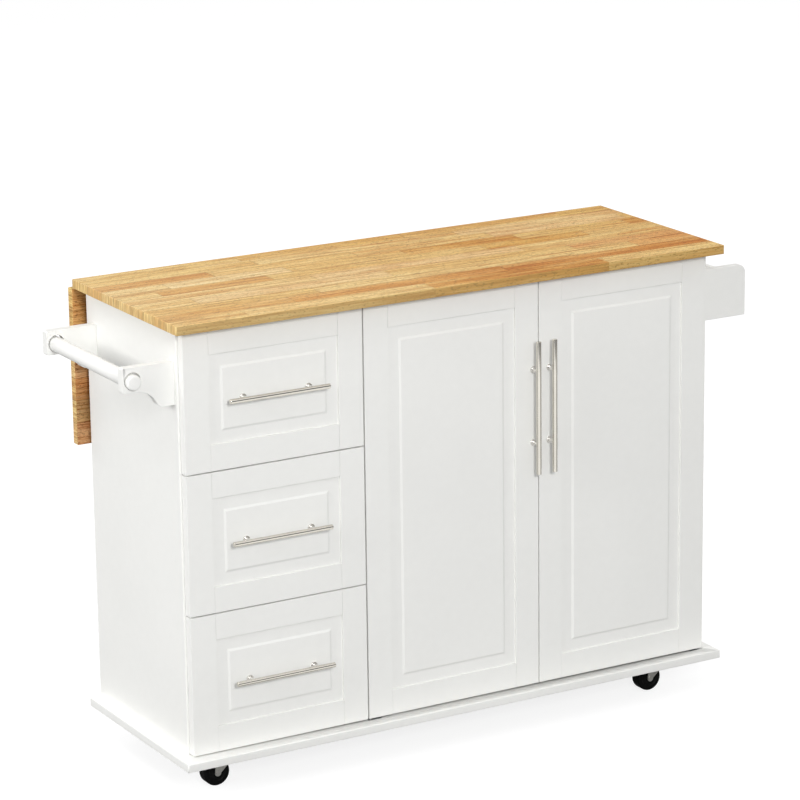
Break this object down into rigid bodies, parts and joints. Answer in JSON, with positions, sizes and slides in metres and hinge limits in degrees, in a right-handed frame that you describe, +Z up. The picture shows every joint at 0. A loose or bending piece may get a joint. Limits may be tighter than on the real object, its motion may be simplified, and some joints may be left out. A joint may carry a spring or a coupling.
{
  "type": "drop leaf kitchen island",
  "caption": "Wheeled kitchen island with a wooden worktop and hinged drop leaf over a white cabinet with drawers, a cupboard, a towel rail and a spice rack.",
  "frame": {"origin": "middle of the whole object's footprint, on the floor", "axes": "+X to the right and +Y to the back as seen from the front, +Z up"},
  "size_m": [1.375, 0.4614, 0.918],
  "materials": {
    "wood": "oiled finger-jointed hardwood strips",
    "white_paint": "satin white paint",
    "inner_white": "matt white laminate",
    "nickel": "brushed nickel",
    "zinc": "zinc-plated steel",
    "black_wheel": "satin black",
    "catch_plastic": "matt white"
  },
  "bodies": {
    "cabinet": {"worktop": "wood", "base_board": "white_paint", "left_side_panel": "white_paint", "right_side_panel": "white_paint", "divider_panel": "inner_white", "back_panel": "inner_white", "top_rails": "inner_white", "cupboard_shelf": "inner_white", "shelf_pins": "zinc", "runner_channels": "zinc", "pivot_sockets": "zinc", "door_catches": "catch_plastic", "leaf_hinge_fixed_leaves": "zinc", "stay_brackets": "zinc", "towel_brackets": "white_paint", "towel_rod": "white_paint", "rack_ends": "white_paint", "rack_shelf": "white_paint", "rack_rail": "white_paint", "caster_plates": "zinc"},
    "leaf": {"drop_leaf": "wood", "leaf_hinge_moving_leaves": "zinc", "stay_stop_plates": "zinc"},
    "stay_left": {"left_stay": "zinc"},
    "stay_right": {"right_stay": "zinc"},
    "top_drawer": {"top_drawer_frame": "white_paint", "top_drawer_panel": "white_paint", "top_drawer_box": "inner_white", "top_drawer_bottom": "inner_white", "top_drawer_sliders": "zinc", "top_drawer_handle": "nickel"},
    "middle_drawer": {"middle_drawer_frame": "white_paint", "middle_drawer_panel": "white_paint", "middle_drawer_box": "inner_white", "middle_drawer_bottom": "inner_white", "middle_drawer_sliders": "zinc", "middle_drawer_handle": "nickel"},
    "bottom_drawer": {"bottom_drawer_frame": "white_paint", "bottom_drawer_panel": "white_paint", "bottom_drawer_box": "inner_white", "bottom_drawer_bottom": "inner_white", "bottom_drawer_sliders": "zinc", "bottom_drawer_handle": "nickel"},
    "left_door": {"left_door_frame": "white_paint", "left_door_panel": "white_paint", "left_door_handle": "nickel", "left_door_pivots": "zinc"},
    "right_door": {"right_door_frame": "white_paint", "right_door_panel": "white_paint", "right_door_handle": "nickel", "right_door_pivots": "zinc"},
    "front_left_swivel": {"front_left_fork": "zinc"},
    "front_left_roller": {"front_left_wheel": "black_wheel"},
    "front_right_swivel": {"front_right_fork": "zinc"},
    "front_right_roller": {"front_right_wheel": "black_wheel"},
    "back_left_swivel": {"back_left_fork": "zinc"},
    "back_left_roller": {"back_left_wheel": "black_wheel"},
    "back_right_swivel": {"back_right_fork": "zinc"},
    "back_right_roller": {"back_right_wheel": "black_wheel"}
  },
  "joints": [
    {"name": "leaf_swing", "type": "hinge", "parent": "cabinet", "child": "leaf", "pos_m": [-0.0055, 0.212, 0.89925], "axis": [1, 0, 0], "range_deg": [0, 90]},
    {"name": "stay_left_fold", "type": "hinge", "parent": "cabinet", "child": "stay_left", "pos_m": [-0.3055, 0.20475, 0.7997], "axis": [1, 0, 0], "range_deg": [0, 120]},
    {"name": "stay_right_fold", "type": "hinge", "parent": "cabinet", "child": "stay_right", "pos_m": [0.2945, 0.20475, 0.7997], "axis": [1, 0, 0], "range_deg": [0, 120]},
    {"name": "top_drawer_slide", "type": "slide", "parent": "cabinet", "child": "top_drawer", "axis": [0, -1, 0], "range_m": [0, 0.3]},
    {"name": "middle_drawer_slide", "type": "slide", "parent": "cabinet", "child": "middle_drawer", "axis": [0, -1, 0], "range_m": [0, 0.3]},
    {"name": "bottom_drawer_slide", "type": "slide", "parent": "cabinet", "child": "bottom_drawer", "axis": [0, -1, 0], "range_m": [0, 0.3]},
    {"name": "left_door_swing", "type": "hinge", "parent": "cabinet", "child": "left_door", "pos_m": [-0.199, -0.19575, 0.489], "axis": [0, 0, -1], "range_deg": [0, 90]},
    {"name": "right_door_swing", "type": "hinge", "parent": "cabinet", "child": "right_door", "pos_m": [0.563, -0.19575, 0.489], "axis": [0, 0, 1], "range_deg": [0, 100]},
    {"name": "front_left_swivel_turn", "type": "hinge", "parent": "cabinet", "child": "front_left_swivel", "pos_m": [-0.4965, -0.15975, 0.055], "axis": [0, 0, 1], "continuous": true},
    {"name": "front_left_wheel_roll", "type": "hinge", "parent": "front_left_swivel", "child": "front_left_roller", "pos_m": [-0.5185, -0.15975, 0.0265], "axis": [0, 1, 0], "continuous": true},
    {"name": "front_right_swivel_turn", "type": "hinge", "parent": "cabinet", "child": "front_right_swivel", "pos_m": [0.4855, -0.15975, 0.055], "axis": [0, 0, 1], "continuous": true},
    {"name": "front_right_wheel_roll", "type": "hinge", "parent": "front_right_swivel", "child": "front_right_roller", "pos_m": [0.4635, -0.15975, 0.0265], "axis": [0, 1, 0], "continuous": true},
    {"name": "back_left_swivel_turn", "type": "hinge", "parent": "cabinet", "child": "back_left_swivel", "pos_m": [-0.4965, 0.12625, 0.055], "axis": [0, 0, 1], "continuous": true},
    {"name": "back_left_wheel_roll", "type": "hinge", "parent": "back_left_swivel", "child": "back_left_roller", "pos_m": [-0.5185, 0.12625, 0.0265], "axis": [0, 1, 0], "continuous": true},
    {"name": "back_right_swivel_turn", "type": "hinge", "parent": "cabinet", "child": "back_right_swivel", "pos_m": [0.4855, 0.12625, 0.055], "axis": [0, 0, 1], "continuous": true},
    {"name": "back_right_wheel_roll", "type": "hinge", "parent": "back_right_swivel", "child": "back_right_roller", "pos_m": [0.4635, 0.12625, 0.0265], "axis": [0, 1, 0], "continuous": true}
  ],
  "couplings": [
    {"joint": "stay_left_fold", "follows": "leaf_swing", "ratio": 1.3333},
    {"joint": "stay_right_fold", "follows": "leaf_swing", "ratio": 1.3333}
  ]
}
